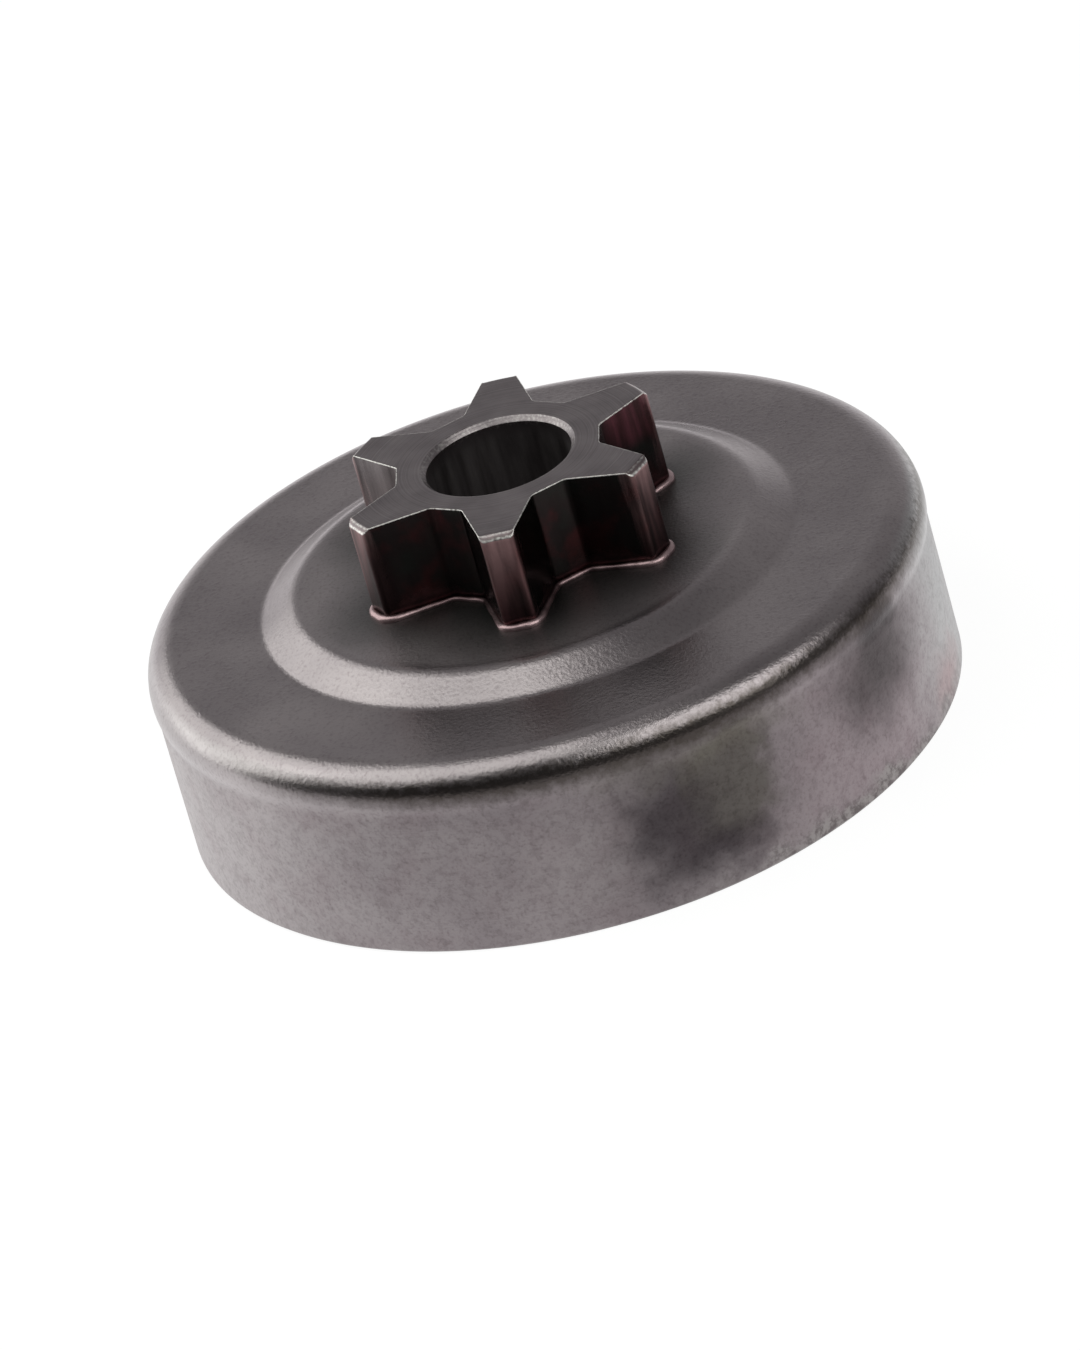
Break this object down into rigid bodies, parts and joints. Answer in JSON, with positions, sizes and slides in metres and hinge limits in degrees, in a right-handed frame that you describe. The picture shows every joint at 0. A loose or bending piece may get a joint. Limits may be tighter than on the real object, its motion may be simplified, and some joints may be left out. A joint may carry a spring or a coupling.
{
  "type": "chainsaw spur sprocket",
  "caption": "Chainsaw clutch drum: an open steel cup with a raised centre and a spur sprocket with a bearing bore, brazed to its face.",
  "frame": {"origin": "centre of the open rim, on the surface that the drum stands on", "axes": "+Z along the axis, from the rim to the sprocket; one tooth points along -Y and one along +Y"},
  "size_m": [0.07, 0.07, 0.029],
  "materials": {
    "drum_steel": "drawn and turned, vibratory finished to a satin grey",
    "sprocket_steel": "hardened, dark satin with worn bright edges and a turned end face",
    "copper_braze": "copper braze, dull pink"
  },
  "bodies": {
    "root": {"clutch_drum": "drum_steel", "spur_sprocket": "sprocket_steel", "braze_fillet": "copper_braze", "inner_braze_ring": "copper_braze"}
  },
  "joints": []
}
